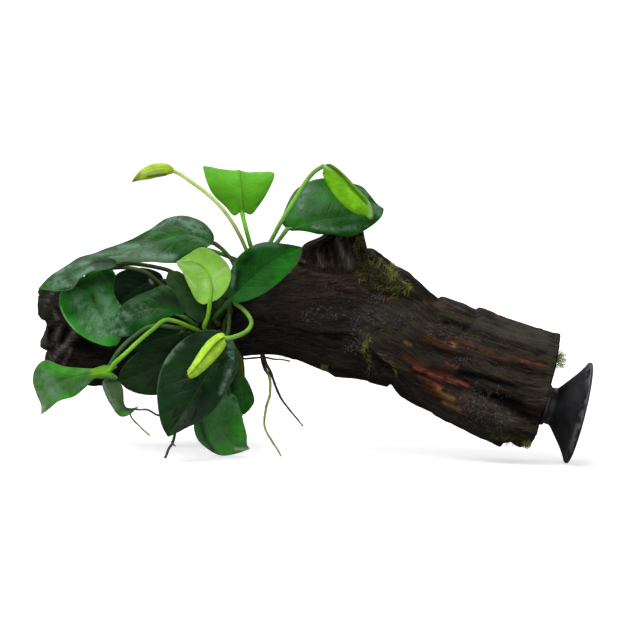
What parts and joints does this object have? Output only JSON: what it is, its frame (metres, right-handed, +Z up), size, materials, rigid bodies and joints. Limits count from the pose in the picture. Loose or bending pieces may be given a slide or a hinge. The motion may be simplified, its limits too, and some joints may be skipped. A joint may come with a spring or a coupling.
{
  "type": "aquarium plant on driftwood",
  "caption": "Dwarf anubias with oval leaves and hanging roots growing on a short driftwood log, with a suction cup on the log's cut end.",
  "frame": {"origin": "middle of the footprint box, on the surface that the object rests on", "axes": "+X along the log to the suction cup, +Y away from the viewer of the picture, +Z up"},
  "size_m": [0.2137, 0.0914, 0.1122],
  "materials": {
    "cup_rubber": "smooth satin black",
    "driftwood_bark": "wet, fibrous dark bark",
    "driftwood_stub_bark": "split grey-brown fibres",
    "leaf_bright": "waxy, veined leaf",
    "leaf_dark": "waxy, veined leaf",
    "leaf_green": "waxy, veined leaf",
    "leaf_lime": "waxy, veined leaf",
    "leaf_rolled": "waxy, veined leaf",
    "moss_strands": "loose matt strands",
    "rhizome_skin": "ringed green-brown skin",
    "root_skin": "matt olive skin"
  },
  "bodies": {
    "root": {"driftwood_stub": "driftwood_stub_bark", "driftwood_trunk": "driftwood_bark", "leaf_arching_left": "leaf_dark", "leaf_back_left": "leaf_dark", "leaf_back_low": "leaf_dark", "leaf_back_right": "leaf_dark", "leaf_back_standing": "leaf_green", "leaf_back_top": "leaf_green", "leaf_behind_right": "leaf_dark", "leaf_centre_left": "leaf_green", "leaf_centre_right": "leaf_green", "leaf_dark_behind": "leaf_dark", "leaf_far_left": "leaf_dark", "leaf_folded_lime": "leaf_lime", "leaf_hanging_right": "leaf_green", "leaf_large_front": "leaf_dark", "leaf_lime_centre": "leaf_lime", "leaf_low_left": "leaf_green", "leaf_pale_upright": "leaf_bright", "leaf_rolled_bud": "leaf_rolled", "leaf_rolled_front": "leaf_rolled", "leaf_round_left": "leaf_green", "leaf_shaded_centre": "leaf_dark", "leaf_shaded_left": "leaf_dark", "leaf_shaded_low": "leaf_dark", "leaf_small_curled": "leaf_green", "leaf_upper_right": "leaf_green", "moss_in_crevice": "moss_strands", "moss_on_stub": "moss_strands", "moss_strand_on_limb": "moss_strands", "moss_tuft_cut_end": "moss_strands", "moss_tuft_low_end": "moss_strands", "moss_tuft_underside": "moss_strands", "rhizome": "rhizome_skin", "root_creeping": "root_skin", "root_forked": "root_skin", "root_left_curved": "root_skin", "root_long_brown": "root_skin", "root_long_olive": "root_skin", "suction_cup": "cup_rubber"}
  },
  "joints": []
}
